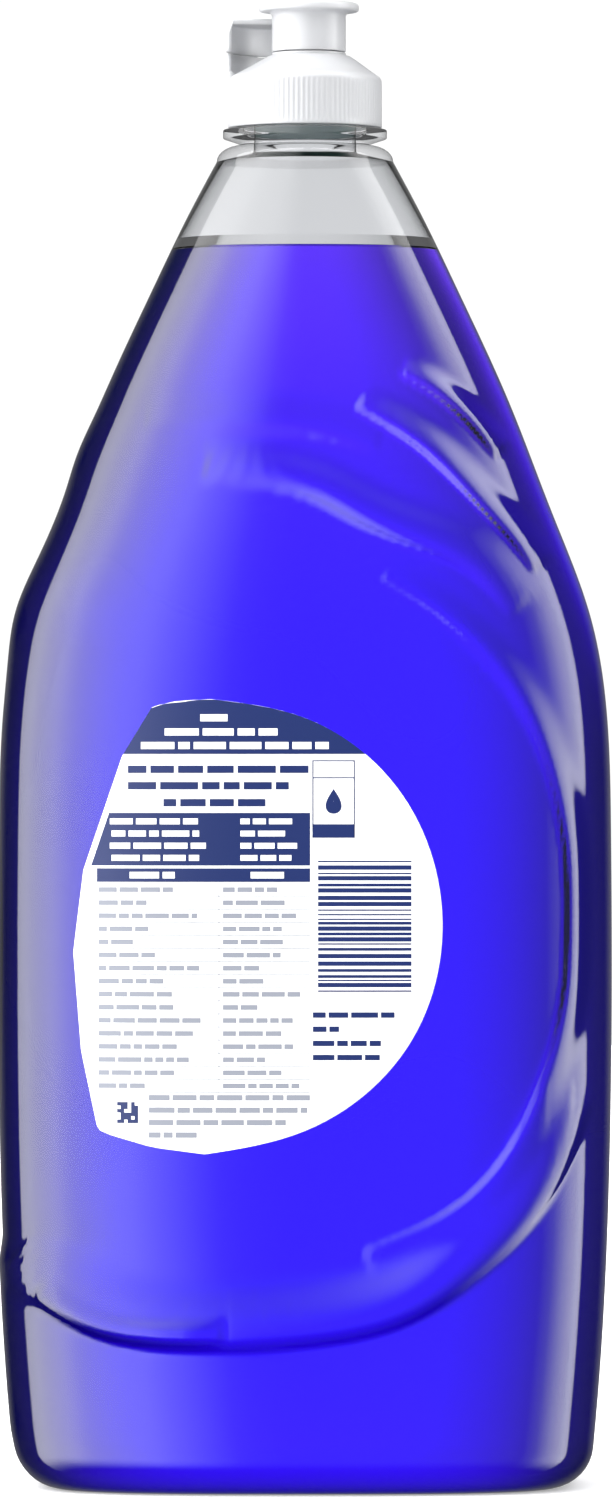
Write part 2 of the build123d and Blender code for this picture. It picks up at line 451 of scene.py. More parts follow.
@dataclass(frozen=True)
class NaturalPolypropylene:
    """Undyed injection-moulded polypropylene: milky and half see-through, with a satin skin."""

    name: str = "natural_polypropylene"
    colour: str = "E6E7EA"
    see_through: float = 0.45
    roughness: float = 0.3

    def build(self) -> bpy.types.Material:
        """Make the material. Light soaks in and comes out soft, so thin walls look paler."""
        material, tree, output = new_material(self.name)
        grain = bump_noise(tree, 0.6, 0.004)
        shader = add_node(
            tree,
            "ShaderNodeBsdfPrincipled",
            {
                "Base Color": linear(self.colour),
                "Roughness": self.roughness,
                "IOR": 1.49,
                "Transmission Weight": self.see_through,
                "Subsurface Weight": 0.6,
                "Subsurface Radius": (1.0, 1.0, 1.0),
                "Subsurface Scale": 1.5 * MM,
            },
            {"Normal": grain.outputs["Normal"]},
        )
        tree.links.new(shader.outputs["BSDF"], output.inputs["Surface"])
        return material


# ---- Bottle form ---------------------------------------------------------------------------


@dataclass(frozen=True)
class Sweep:
    """A moulded crease: a ridge with a long soft side and a short one that ends in a sharp root.

    The path is (x, z) along the crest. The soft side lies to the left of the path's run.
    """

    path: tuple[tuple[float, float], ...]
    height: float
    soft: float
    short: float
    samples: int = 80

    def lift(self, x: np.ndarray, z: np.ndarray) -> np.ndarray:
        """Height of the crease over points of a face.

        With d the distance to the path, the soft side falls along 1 - smoothstep(0, soft, d) and
        the short side along 1 - (d / short)^2. The height fades to nothing at both ends as the
        root of a sine.

        Args:
            x: Places across the face.
            z: Heights of the same points.

        Returns:
            The height of the crease at each point.
        """
        path = spline_path(self.path, self.samples)
        step = np.gradient(path, axis=0)
        step /= np.linalg.norm(step, axis=1, keepdims=True)
        near = np.full(x.shape, np.inf)
        side, share = np.zeros(x.shape), np.zeros(x.shape)
        for k in range(self.samples):
            dx, dz = x - path[k, 0], z - path[k, 1]
            along, across = step[k, 0] * dx + step[k, 1] * dz, step[k, 0] * dz - step[k, 1] * dx
            gap = np.hypot(along, across)
            closer = gap < near
            near = np.where(closer, gap, near)
            side = np.where(closer, across, side)
            share = np.where(closer, k / (self.samples - 1), share)
        across = np.abs(side)
        soft = 1 - smoothstep(0, self.soft, across)
        short = np.clip(1 - (across / self.short) ** 2, 0, 1)
        fade = np.sqrt(np.clip(np.sin(np.pi * share), 0, 1)) * (near < self.soft + self.short)
        return self.height * fade * np.where(side > 0, soft, short)


@dataclass
class Flank:
    """The oval body's form, worked out from the frame's box."""

    width: float
    depth: float
    shoulder_top: float
    root_radius: float = 15.9
    heel: float = 7.0
    foot: float = 6.0
    push_up: float = 2.5
    columns: int = 296
    back_density: float = 3.0
    length_share: float = 0.75

    # Height, width, depth as shares of the sizes above, and the superellipse exponent.
    stations: tuple = (
        (0.000, 0.930, 0.930, 3.2),
        (0.084, 0.962, 0.980, 3.4),
        (0.190, 0.987, 0.998, 3.6),
        (0.320, 1.000, 1.000, 3.6),
        (0.500, 0.999, 0.995, 3.6),
        (0.588, 0.984, 0.980, 3.5),
        (0.660, 0.928, 0.938, 3.3),
        (0.735, 0.807, 0.866, 3.1),
        (0.819, 0.666, 0.756, 2.8),
        (0.903, 0.500, 0.645, 2.5),
        (0.966, 0.368, 0.545, 2.2),
    )

    # Creases of the back face.
    sweeps: tuple = (
        Sweep(
            ((-28.5, 190.6), (-14.1, 189.9), (-0.9, 189.5), (13, 186)),
            height=0.5,
            soft=7.0,
            short=1.5,
        ),
        Sweep(
            ((-18, 181.5), (-13.2, 181.3), (2.6, 178.3), (9.9, 174.4))
            + ((19.2, 170.3), (29.3, 165.8), (38, 157)),
            height=1.1,
            soft=7.0,
            short=2.4,
        ),
        Sweep(
            ((17, 199.4), (22, 196.6), (26.5, 193.1), (30.9, 188.7), (34.2, 184.6)),
            height=1.2,
            soft=4.5,
            short=0.9,
        ),
        Sweep(
            ((9, 193.4), (15.9, 189.5), (21.2, 185.7), (27.3, 179.8))
            + ((32.6, 174.2), (37.2, 169.2), (41, 164)),
            height=1.3,
            soft=5.5,
            short=0.9,
        ),
        Sweep(
            ((13.1, 163.1), (22.1, 157.8), (30.2, 150.9), (37.9, 141.1), (43.4, 128.5))
            + ((46.4, 113.4), (46.7, 102.6), (46, 88.5), (42.3, 74.1), (37.6, 63.5))
            + ((30.9, 54.6), (23.8, 49.4), (9.7, 43.2)),
            height=0.9,
            soft=5.0,
            short=0.9,
        ),
        Sweep(
            ((-53, 41), (-45.5, 36.2), (-32.6, 30.9), (-16.6, 29.3), (0.2, 30.3))
            + ((17.1, 34.2), (28.2, 41.4), (36.7, 49.4), (42.9, 58.9), (48, 72)),
            height=1.85,
            soft=10.0,
            short=4.0,
        ),
        Sweep(
            ((-47, 36.5), (-37, 30.6), (-26, 28.8), (-14, 29.0)),
            height=1.1,
            soft=3.5,
            short=2.2,
        ),
    )

    # Swells of the left side, each as the height of its middle, its half spread and its rise.
    swells: tuple = ((186.5, 6.5, 0.9), (157.5, 9.0, 1.0))

    def measures(self, z: np.ndarray) -> tuple[np.ndarray, np.ndarray, np.ndarray]:
        """Form of the section, splined through the stations.

        Args:
            z: Heights.

        Returns:
            Half width, half depth and exponent at each height.
        """
        table = np.array([*self.stations, (1.0, 0, 0, 2.0)])
        table[:, 1] *= self.width / 2
        table[:, 2] *= self.depth / 2
        table[-1, 1:3] = self.root_radius
        knots = table[:, 0] * self.shoulder_top
        return tuple(natural_spline(knots, table[:, k], z) for k in (1, 2, 3))

    def turns(self) -> np.ndarray:
        """Angles of the columns, closest on the back face and where the section bends most.

        They are evenly spaced in a weighted sum of arc length, which counts for more on the
        back face, and turning.

        Returns:
            The angles, rising from 0.
        """
        a, b, n = (float(v) for v in self.measures(np.array(0.4 * self.shoulder_top)))
        fine = np.linspace(0, 2 * np.pi, 4001)
        reach = (np.abs(np.cos(fine)) ** n + np.abs(np.sin(fine)) ** n) ** (-1 / n)
        x, y = a * np.cos(fine) * reach, b * np.sin(fine) * reach
        length = np.hypot(np.diff(x), np.diff(y)) * np.where(y[1:] < 0, self.back_density, 1)
        heading = np.unwrap(np.arctan2(np.diff(y), np.diff(x)))
        turning = np.abs(np.diff(heading, append=heading[:1] + 2 * np.pi))
        share = self.length_share * length / length.sum()
        share += (1 - self.length_share) * turning / turning.sum()
        total = np.concatenate([[0], np.cumsum(share)])
        return np.interp(np.arange(self.columns) / self.columns, total / total[-1], fine)

    def rings(self, rows: np.ndarray, relief: np.ndarray) -> np.ndarray:
        """Points of level superellipses.

        A point is (a cos t, b sin t) moved out along its radius by
        (|cos t|^n + |sin t|^n)^(-1/n), then pushed out along the section's normal by the
        creases where relief is not nothing.

        Args:
            rows: (half width, half depth, exponent, height) of each row.
            relief: How much of the creases each row takes, from 0 to 1.

        Returns:
            Points as (row, column, xyz).
        """
        t = self.turns()[None, :]
        a, b, n, z = (rows[:, k : k + 1] for k in range(4))
        c, s = np.cos(t), np.sin(t)
        reach = (np.abs(c) ** n + np.abs(s) ** n) ** (-1 / n)
        x, y = a * c * reach, b * s * reach
        z = np.broadcast_to(z, x.shape)
        safe_a, safe_b = np.maximum(a, 1e-6), np.maximum(b, 1e-6)
        nx = np.sign(c) * np.abs(x / safe_a) ** (n - 1) / safe_a
        ny = np.sign(s) * np.abs(y / safe_b) ** (n - 1) / safe_b
        size = np.maximum(np.hypot(nx, ny), 1e-9)
        push = self.relief(x, z, ny / size) * relief[:, None] + self.swell(x, z, ny / size)
        return np.stack([x + nx / size * push, y + ny / size * push, z], axis=-1)

    def relief(self, x: np.ndarray, z: np.ndarray, facing: np.ndarray) -> np.ndarray:
        """Height of the back face's creases, which fade where the face turns into the side."""
        return sum(sweep.lift(x, z) for sweep in self.sweeps) * smoothstep(0.1, 0.5, -facing)

    def swell(self, x: np.ndarray, z: np.ndarray, facing: np.ndarray) -> np.ndarray:
        """Soft rises of the left side, which the sweeps run round.

        Each is rise * exp(-((z - middle) / spread)^2), and a last one runs along the heel. They
        fade towards the middle of the bottle and where the side turns into a face.

        Args:
            x: Places across the bottle.
            z: Heights of the same points.
            facing: The y part of the surface's direction there.

        Returns:
            The height of the swells at each point.
        """
        edge = smoothstep(0.6, 1.0, -2.3 * x / self.width)
        edge = edge * (1 - 0.6 * smoothstep(0.1, 0.6, np.abs(facing)))
        heel = 0.8 * smoothstep(46, 40, z) * smoothstep(2, 12, z)
        upper = sum(rise * np.exp(-(((z - middle) / spread) ** 2)) for middle, spread, rise in self.swells)
        return edge * (upper + heel)

    def levels(self, low: float, count: int) -> np.ndarray:
        """Heights of the flank's rows, twice as close where the creases are.

        Args:
            low: The lowest height.
            count: How many heights there are.

        Returns:
            Heights from the lowest to the shoulder's top.
        """
        fine = np.linspace(low, self.shoulder_top, 2001)
        lower_crease = smoothstep(22, 27, fine) * smoothstep(66, 60, fine)
        upper_creases = smoothstep(150, 156, fine) * smoothstep(206, 201, fine)
        busy = lower_crease + upper_creases
        total = np.concatenate([[0], np.cumsum(1 + busy[1:])])
        return np.interp(np.linspace(0, total[-1], count), total, fine)

    def outside_rows(self, inset: float, count: int) -> tuple[np.ndarray, np.ndarray]:
        """Rows from the middle of the base, over the foot and heel and up to the shoulder's top.

        Args:
            inset: How far the surface lies inside the bottle's outer skin.
            count: Rows on the flank.

        Returns:
            The rows and their share of the creases.
        """
        floor = 0.0 if inset == 0 else max(inset, 0.5)
        heel = self.heel - inset
        a0, b0, n0 = (float(v) for v in self.measures(np.array(0.0)))
        a0, b0 = a0 - inset, b0 - inset
        inner = self.heel + self.foot - inset
        s = np.linspace(0, 1, 9)[:, None]
        dome = floor + self.push_up * (1 - s**4)
        recess = np.hstack([s * (a0 - inner), s * (b0 - inner), 0 * s + n0, dome])
        s = np.linspace(0, 1, 4)[1:-1, None]
        foot_a = a0 - inner + s * (inner - heel)
        foot_b = b0 - inner + s * (inner - heel)
        foot = np.hstack([foot_a, foot_b, 0 * s + n0, 0 * s + floor])
        turn = np.linspace(0, np.pi / 2, 10)
        z = floor + heel * (1 - np.cos(turn))
        a, b, n = self.measures(z)
        drawn = inset + heel * (1 - np.sin(turn))
        bend = np.stack([a - drawn, b - drawn, n, z], axis=1)
        z = self.levels(floor + heel, count)[1:]
        a, b, n = self.measures(z)
        wall = np.stack([a - inset, b - inset, n, z], axis=1)
        rows = np.concatenate([recess, foot, bend, wall])
        z = rows[:, 3]
        relief = smoothstep(2, 10, z) * smoothstep(self.shoulder_top, self.shoulder_top - 12, z)
        relief[: len(recess) + len(foot)] = 0
        return rows, relief

    def face_y(self, x: np.ndarray, z: np.ndarray, stand_off: float) -> np.ndarray:
        """Distance of the face from the middle plane.

        It is b (1 - |x / a|^n)^(1 / n), with the section grown by the stand-off.

        Args:
            x: Places across the face.
            z: Heights of the same points.
            stand_off: Height over the face.

        Returns:
            The distance at each point.
        """
        a, b, n = self.measures(z)
        a, b = a + stand_off, b + stand_off
        return b * (1 - np.clip(np.abs(x) / a, 0, 1) ** n) ** (1 / n)


# ---- Bottle and soap -----------------------------------------------------------------------


@dataclass
class Bottle:
    """The blown bottle: one closed wall, outside and inside, with its threaded neck."""

    form: Flank
    lip: float
    wall: float = 0.5
    neck_waist: float = 11.7
    root_rise: float = 2.9
    ring_radius: float = 14.75
    ring_rim: float = 1.6
    ring_slope: float = 1.0
    neck_radius: float = 10.9
    bore: float = 9.0
    waist_height: float = 0.3
    thread_pitch: float = 3.0
    thread_depth: float = 0.95
    thread_drop: float = 7.4
    outer_rows: int = 200
    inner_rows: int = 24

    def neck_profile(self) -> np.ndarray:
        """Root, waist, support ring, finish and bore.

        Returns:
            Points as (radius, height), up the outside and down the bore.
        """
        top = self.form.shoulder_top
        turn = np.linspace(0, np.pi / 2, 8)[1:-1]
        flare = self.form.root_radius - self.neck_waist
        root_radius = self.neck_waist + flare * np.cos(turn)
        root = np.stack([root_radius, top + self.root_rise * np.sin(turn)], 1)
        under = top + self.root_rise + self.waist_height
        ring_top = under + self.ring_slope + self.ring_rim
        corners = [
            (self.neck_waist, top + self.root_rise, 0.0),
            (self.neck_waist, under, 0.3),
            (self.ring_radius, under + self.ring_slope, 0.35),
            (self.ring_radius, ring_top, 0.35),
            (self.neck_radius, ring_top, 0.4),
            (self.neck_radius, self.lip, 0.5),
            (self.bore, self.lip, 0.5),
            (self.bore, top + self.root_rise / 2, 0.8),
            (self.form.root_radius - self.wall, top, 0.0),
        ]
        return np.concatenate([root, refined(rounded(corners, 4), 0.75)])

    def thread(self, turn: np.ndarray, radius: np.ndarray, z: np.ndarray) -> np.ndarray:
        """Height of the male thread: a smooth ridge that climbs one pitch each turn.

        Args:
            turn: Angle of each point about the neck, from 0 to 2 pi.
            radius: Its distance from the axis.
            z: Its height.

        Returns:
            The height of the ridge at each point, and nothing inside the bore.
        """
        start = self.lip - self.thread_drop
        climb = z - start - self.thread_pitch * turn / (2 * np.pi)
        climb = climb - self.thread_pitch * np.clip(np.round(climb / self.thread_pitch), 0, 1)
        ridge = smoothstep(0.95, 0.35, np.abs(climb))
        outside = smoothstep(self.neck_radius - 0.3, self.neck_radius - 0.05, radius)
        in_reach = smoothstep(start - 1.2, start - 0.6, z)
        in_reach = in_reach * smoothstep(self.lip - 0.6, self.lip - 1.4, z)
        return self.thread_depth * ridge * outside * in_reach

    def build(self, filled: bpy.types.Material, empty: bpy.types.Material, level: float) -> bpy.types.Object:
        """Make the wall as one loop from the base's middle outside to its middle inside.

        Args:
            filled: Finish of the wall with soap behind it.
            empty: Finish of the wall above the soap.
            level: Height of the soap's surface.

        Returns:
            The bottle.
        """
        outer, outer_relief = self.form.outside_rows(0.0, self.outer_rows)
        inner, _ = self.form.outside_rows(self.wall, self.inner_rows)
        neck = self.neck_profile()
        neck_rows = np.stack([neck[:, 0], neck[:, 0], np.full(len(neck), 2.0), neck[:, 1]], axis=1)
        rows = np.concatenate([outer, neck_rows, inner[::-1][1:]])
        relief = np.concatenate([outer_relief, np.zeros(len(rows) - len(outer))])
        grid = self.form.rings(rows, relief)
        part = slice(len(outer), len(outer) + len(neck_rows))
        x, y, z = (grid[part, :, k] for k in range(3))
        turn, radius = np.arctan2(y, x) % (2 * np.pi), np.hypot(x, y)
        grow = 1 + self.thread(turn, radius, z) / np.maximum(radius, 1e-6)
        grid[part, :, 0] *= grow
        grid[part, :, 1] *= grow
        piece = tube("clear_bottle", grid, Ends.POLES)
        dress(piece, filled, empty)
        middles = np.empty(3 * len(piece.data.polygons))
        piece.data.polygons.foreach_get("center", middles)
        above = middles[2::3] > level * MM
        piece.data.polygons.foreach_set("material_index", above.astype(np.int32))
        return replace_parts(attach(piece, "bottle"), "bottle")


@dataclass
class Soap:
    """The liquid. It reaches into the thickness of the wall so that no air shows between."""

    form: Flank
    level: float
    inset: float = 0.25
    meniscus: float = 0.6
    meniscus_reach: float = 1.2
    rows: int = 80

    def build(self, material: bpy.types.Material) -> bpy.types.Object:
        """Fill the flank to the level, with a small meniscus where the surface meets the wall.

        At a distance s from the wall the surface stands meniscus * exp(-s / reach) above its
        own middle.

        Args:
            material: Finish of the soap.

        Returns:
            The soap.
        """
        rows, _ = self.form.outside_rows(self.inset, self.rows)
        rows = rows[rows[:, 3] < self.level - 0.2]
        a, b, n = (float(v) for v in self.form.measures(np.array(self.level)))
        s = np.array([0.0, 0.6, 1.5, 3.0, 6.0, 12.0])
        still = self.level - self.meniscus
        rise = self.meniscus * np.exp(-s / self.meniscus_reach)
        rim = np.stack([a - self.inset - s, b - self.inset - s, 0 * s + n, still + rise], 1)
        middle = np.array([[0.0, 0.0, n, still]])
        rows = np.concatenate([rows, rim, middle])
        piece = tube("liquid_soap", self.form.rings(rows, np.zeros(len(rows))), Ends.POLES)
        dress(piece, material)
        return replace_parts(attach(piece, "bottle"), "soap")


# ---- Labels --------------------------------------------------------------------------------


@dataclass
class Inks:
    """The films and inks that the labels share."""

    film: bpy.types.Material
    navy: bpy.types.Material
    white: bpy.types.Material
    grey: bpy.types.Material
    sky: bpy.types.Material


@dataclass
class Label:
    """A film label with generic print on one face of the bottle.

    side is -1 for the back face and 1 for the front. Places on the label are (x, z) about its
    own middle as the back label shows them, and the front label is the mirror image behind it.
    """

    form: Flank
    side: int
    node: str
    body: str
    inks: Inks
    middle: float
    film: float = 0.12
    glue: float = 0.05
    ink_step: float = 0.03
    wide: float = 1.0
    high: float = 1.0
    seed: int = 7
    sweep: tuple = (
        (-16.6, 40.2),
        (0.2, 36.8),
        (16.4, 24.4),
        (24.3, 0.3),
        (18.1, -21.3),
        (0.2, -36.0),
        (-17.7, -40.2),
    )
    left: tuple = (
        (-16.6, 40.2),
        (-22.5, 39.9),
        (-27.0, 38.9),
        (-32.3, 30.2),
        (-39.2, 10.0),
        (-41.0, -4.5),
        (-39.6, -22.0),
        (-36.8, -35.2),
        (-36.0, -36.4),
        (-27.0, -39.0),
        (-17.7, -40.2),
    )

    def edges(self, z: np.ndarray) -> tuple[np.ndarray, np.ndarray]:
        """Where the label ends on either side.

        Args:
            z: Heights about the label's middle.

        Returns:
            The left and the right edge at each height.
        """
        curve = spline_path(list(self.sweep), 200)[::-1]
        side = np.array(self.left)[::-1]
        z = np.asarray(z) / self.high
        left = self.wide * np.interp(z, side[:, 1], side[:, 0])
        right = self.wide * np.interp(z, curve[:, 1], curve[:, 0])
        return left, right

    def ink_height(self, level: int = 1) -> float:
        """Height of a layer of ink over the bottle's face."""
        return self.glue + self.film + level * self.ink_step

    def place(self, x: np.ndarray, z: np.ndarray, stand_off: float) -> np.ndarray:
        """Points on the face of the bottle at a label's x and z, lifted by a stand-off."""
        height = z + self.middle
        y = self.side * self.form.face_y(x, height, stand_off)
        return np.stack([x, y, height], axis=-1)

    def sheet(self, name: str, grids: list[np.ndarray], ink: bpy.types.Material) -> bpy.types.Object:
        """One object of several open patches.

        Args:
            name: The piece's name.
            grids: The patches, each a grid of (row, column, xyz).
            ink: Their finish.

        Returns:
            The new object.
        """
        points, faces, start = [], [], 0
        for grid in grids:
            rows, columns = grid.shape[:2]
            patch = quads(rows, columns, False, False)
            patch = patch if self.side < 0 else patch[:, ::-1]
            faces += (patch + start).tolist()
            points.append(grid.reshape(-1, 3))
            start += rows * columns
        piece = make_object(name, np.concatenate(points), faces)
        dress(piece, ink)
        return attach(piece, self.body)

    def bar(self, x0: float, x1: float, z0: float, z1: float, level: int = 1) -> np.ndarray:
        """A rectangular patch of ink between x0 and x1 and between z0 and z1.

        It is cut every 2 mm, so that it follows the face.
        """
        across = max(2, math.ceil((x1 - x0) / 2.0) + 1)
        up = max(2, math.ceil((z1 - z0) / 2.0) + 1)
        x, z = np.meshgrid(np.linspace(x0, x1, across), np.linspace(z0, z1, up))
        return self.place(x, z, self.ink_height(level))

    def field(self, z0: float, z1: float) -> np.ndarray:
        """A patch of ink between two heights that runs to the label's own edges."""
        z = np.linspace(z0, z1, max(2, math.ceil(abs(z1 - z0) / 0.8) + 1))
        left, right = self.edges(z)
        share = np.linspace(0, 1, 40)[None, :]
        x = left[:, None] + share * (right - left)[:, None]
        return self.place(x, np.broadcast_to(z[:, None], x.shape), self.ink_height())

    def words(
        self, rng: np.random.Generator, x0: float, x1: float, z: float, size: float
    ) -> list[np.ndarray]:
        """A line of greeked copy: plain blocks the length of words, with a space between.

        Args:
            rng: Draws the length of each word.
            x0: Start of the line.
            x1: End of the line.
            z: Height of its middle.
            size: Height of the blocks.

        Returns:
            The patches of ink.
        """
        made, x = [], x0
        while x < x1 - size:
            length = min(float(rng.uniform(1.6, 5.2)) * size, x1 - x)
            made.append(self.bar(x, x + length, z - size / 2, z + size / 2, 2))
            x += length + 0.55 * size
        return made

    def build_film(self) -> bpy.types.Object:
        """The film itself: a closed thin sheet over the face, out to its edges.

        Returns:
            The film.
        """
        low, high = self.left[-1][1] * self.high, self.left[0][1] * self.high
        share = (1 - np.cos(np.linspace(0, np.pi, 70))) / 2
        z = low + 0.02 + share * (high - low - 0.04)
        left, right = self.edges(z)
        across = np.linspace(0, 1, 48)[None, :]
        x = left[:, None] + across * (right - left)[:, None]
        z = np.broadcast_to(z[:, None], x.shape)
        top, under = self.place(x, z, self.glue + self.film), self.place(x, z, self.glue)
        rows, columns = x.shape
        outer, base = quads(rows, columns, False, False), rows * columns
        faces = outer.tolist() + (outer[:, ::-1] + base).tolist()
        rim = np.concatenate(
            [
                np.arange(columns),
                np.arange(1, rows) * columns + columns - 1,
                (rows - 1) * columns + np.arange(columns - 2, -1, -1),
                np.arange(rows - 2, 0, -1) * columns,
            ]
        )
        after = np.roll(rim, -1)
        faces += np.stack([after, rim, rim + base, after + base], axis=1).tolist()
        if self.side > 0:
            faces = [f[::-1] for f in faces]
        points = np.concatenate([top.reshape(-1, 3), under.reshape(-1, 3)])
        piece = make_object(f"{self.node}_film", points, faces)
        dress(piece, self.inks.film)
        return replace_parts(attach(piece, self.body), self.node)


@dataclass
class BackLabel(Label):
    """The information label: a header, a boxed mark, a two-column table and small copy."""

    row_pitch: float = 2.31
    rows: int = 16
    table_top: float = 7.7
    table_left: float = -36.8
    table_right: float = 0.9
    divider: float = -15.2

    def build(self) -> list[bpy.types.Object]:
        """Make the film and its inks.

        Returns:
            The film, and one piece for each ink.
        """
        rng = np.random.default_rng(self.seed)
        # The header field with three lines in it, and three lines under it.
        navy, white, grey = [self.field(30.5, 40.1)], [], []
        for z, x0, x1 in ((36.9, -18.5, -12.2), (34.4, -24.8, -3.2), (32.0, -29.0, 4.2)):
            white += self.words(rng, x0, x1, z, 1.25)
        for z, x0, x1 in ((27.8, -31.3, 0.6), (24.9, -31.3, -1.0), (21.9, -25.0, -7.0)):
            navy += self.words(rng, x0, x1, z, 1.3)
        # The second field, with two columns of four lines.
        navy.append(self.slanted_block(10.8, 20.1))
        for k in range(4):
            white += self.words(rng, -34.5 + 0.3 * (k % 2), -17.5 - 1.2 * (k % 2), 18.6 - 2.15 * k, 1.05)
            white += self.words(rng, -11.4, -0.8 - 1.4 * (k % 2), 18.6 - 2.15 * k, 1.0)
        # The table: its head, ruled rows in two columns, and the divider.
        navy.append(self.bar(self.table_left, self.table_right, 7.9, 10.3))
        white += self.words(rng, -31.0, -23.0, 9.1, 1.15) + self.words(rng, -9.6, -3.4, 9.1, 1.15)
        for k in range(self.rows):
            z = self.table_top - self.row_pitch * (k + 1)
            grey.append(self.bar(self.table_left, self.table_right, z - 0.06, z + 0.06))
            first_end = self.table_left + rng.uniform(6, 19)
            grey += self.words(rng, self.table_left + 0.3, first_end, z + 1.15, 0.85)
            second_end = self.divider + rng.uniform(7, 14.5)
            grey += self.words(rng, self.divider + 0.7, second_end, z + 1.15, 0.85)
        low = self.table_top - self.row_pitch * self.rows
        grey.append(self.bar(self.divider - 0.06, self.divider + 0.06, low, 7.8))
        # Small copy at the foot, the marks, and the stripes and copy of the right column.
        for k, x1 in enumerate((1.0, 0.4, -3.4, -18.5)):
            grey += self.words(rng, -27.6, x1, -30.2 - 2.2 * k, 0.95)
        navy += self.blocks_mark(-33.2, -31.0) + self.boxed_mark(1.3, 8.8, 15.7, 29.4)
        navy += self.stripes(2.3, 18.8, -11.5, 12.1)
        for k, x1 in enumerate((15.8, 6.0, 14.4, 13.2)):
            navy += self.words(rng, 1.4, x1, -15.6 - 2.5 * k, 0.95)
        return [
            self.build_film(),
            self.sheet("back_label_navy_ink", navy, self.inks.navy),
            self.sheet("back_label_white_ink", white, self.inks.white),
            self.sheet("back_label_grey_ink", grey, self.inks.grey),
        ]

    def slanted_block(self, z0: float, z1: float) -> np.ndarray:
        """The second navy field, between two heights, whose left side follows the label's edge."""
        z = np.linspace(z0, z1, 8)
        left = self.edges(z)[0] + 1.1
        share = np.linspace(0, 1, 24)[None, :]
        x = left[:, None] + share * (self.table_right - left)[:, None]
        return self.place(x, np.broadcast_to(z[:, None], x.shape), self.ink_height())

    def blocks_mark(self, x: float, z: float, block: float = 0.62) -> list[np.ndarray]:
        """A small square of six by six places, a little over half of them filled by blocks.

        Args:
            x: Its left side.
            z: Its top.
            block: Side of one block.

        Returns:
            The patches of ink.
        """
        rng = np.random.default_rng(self.seed + 1)
        made = []
        for i in range(6):
            for j in range(6):
                if rng.random() < 0.55:
                    left, right = x + block * i, x + block * (i + 1)
                    made.append(self.bar(left, right, z - block * (j + 1), z - block * j))
        return made

    def boxed_mark(self, x0: float, x1: float, z0: float, z1: float) -> list[np.ndarray]:
        """An outlined box with a plain drop in it and a solid foot.

        The drop is a circle whose upper half is drawn in towards a point.

        Args:
            x0: Left side of the box.
            x1: Its right side.
            z0: Its foot.
            z1: Its top.

        Returns:
            The patches of ink.
        """
        line = 0.2
        made = [
            self.bar(x0, x1, z1 - line, z1),
            self.bar(x0, x0 + line, z0, z1),
            self.bar(x1 - line, x1, z0, z1),
            self.bar(x0, x1, z0, z0 + 2.4),
            self.bar(x0, x1, z1 - 3.2, z1 - 3.0),
        ]
        turn = np.linspace(0, 2 * np.pi, 33)[None, :]
        out = np.linspace(0.02, 1, 5)[:, None]
        x = 1.9 * np.sin(turn) * np.sin(turn / 2) ** 1.2
        z = -2.2 * np.cos(turn + np.pi)
        middle = ((x0 + x1) / 2, (z0 + z1) / 2 - 0.4)
        made.append(self.place(middle[0] + out * x, middle[1] + out * z, self.ink_height()))
        return made

    def stripes(self, x0: float, x1: float, z0: float, z1: float) -> list[np.ndarray]:
        """A block of plain level stripes of uneven thickness.

        Args:
            x0: Left side of the block.
            x1: Its right side.
            z0: Its foot.
            z1: Its top.

        Returns:
            The patches of ink.
        """
        rng = np.random.default_rng(self.seed + 2)
        made, z = [], z0
        while z < z1:
            thick = float(rng.choice([0.26, 0.26, 0.52, 0.78]))
            made.append(self.bar(x0, x1, z, min(z + thick, z1)))
            z += thick + float(rng.choice([0.3, 0.3, 0.55]))
        return made


@dataclass
class FrontLabel(Label):
    """The front label: plain fields of colour, a wave and a few bubbles."""

    # Each bubble as (x, z, radius).
    bubbles: tuple = ((-18, -20, 2.6), (-12, -26, 1.7), (-5, -19, 3.2), (3, -23, 2.0))
    wave_foot: float = -34.5

    def build(self) -> list[bpy.types.Object]:
        """Make the film and its inks.

        Returns:
            The film, and one piece for each ink.
        """
        navy = [self.field(18.0, 36.0)]
        sky = [self.wave(-15.0)]
        white = [self.disc(x, z, radius) for x, z, radius in self.bubbles]
        return [
            self.build_film(),
            self.sheet("front_label_navy_ink", navy, self.inks.navy),
            self.sheet("front_label_blue_ink", sky, self.inks.sky),
            self.sheet("front_label_white_ink", white, self.inks.white),
        ]

    def wave(self, middle: float) -> np.ndarray:
        """A field whose upper edge is one wave, running to the label's edges.

        Args:
            middle: Height that the wave swings about.

        Returns:
            The patch of ink.
        """
        share = np.linspace(0, 1, 60)[None, :]
        rise = np.linspace(0, 1, 24)[:, None]
        crest = middle + 5.5 * np.sin(2 * np.pi * share + 0.6)
        z = self.wave_foot + rise * (crest - self.wave_foot)
        left, right = self.edges(z)
        x = left + share * (right - left)
        return self.place(x, z, self.ink_height())

    def disc(self, x: float, z: float, radius: float) -> np.ndarray:
        """A ring-shaped bubble."""
        turn = np.linspace(0, 2 * np.pi, 41)[None, :]
        out = np.linspace(0.62, 1, 3)[:, None] * radius
        return self.place(x + out * np.cos(turn), z + out * np.sin(turn), self.ink_height(2))


# ---- Closure and lid -----------------------------------------------------------------------


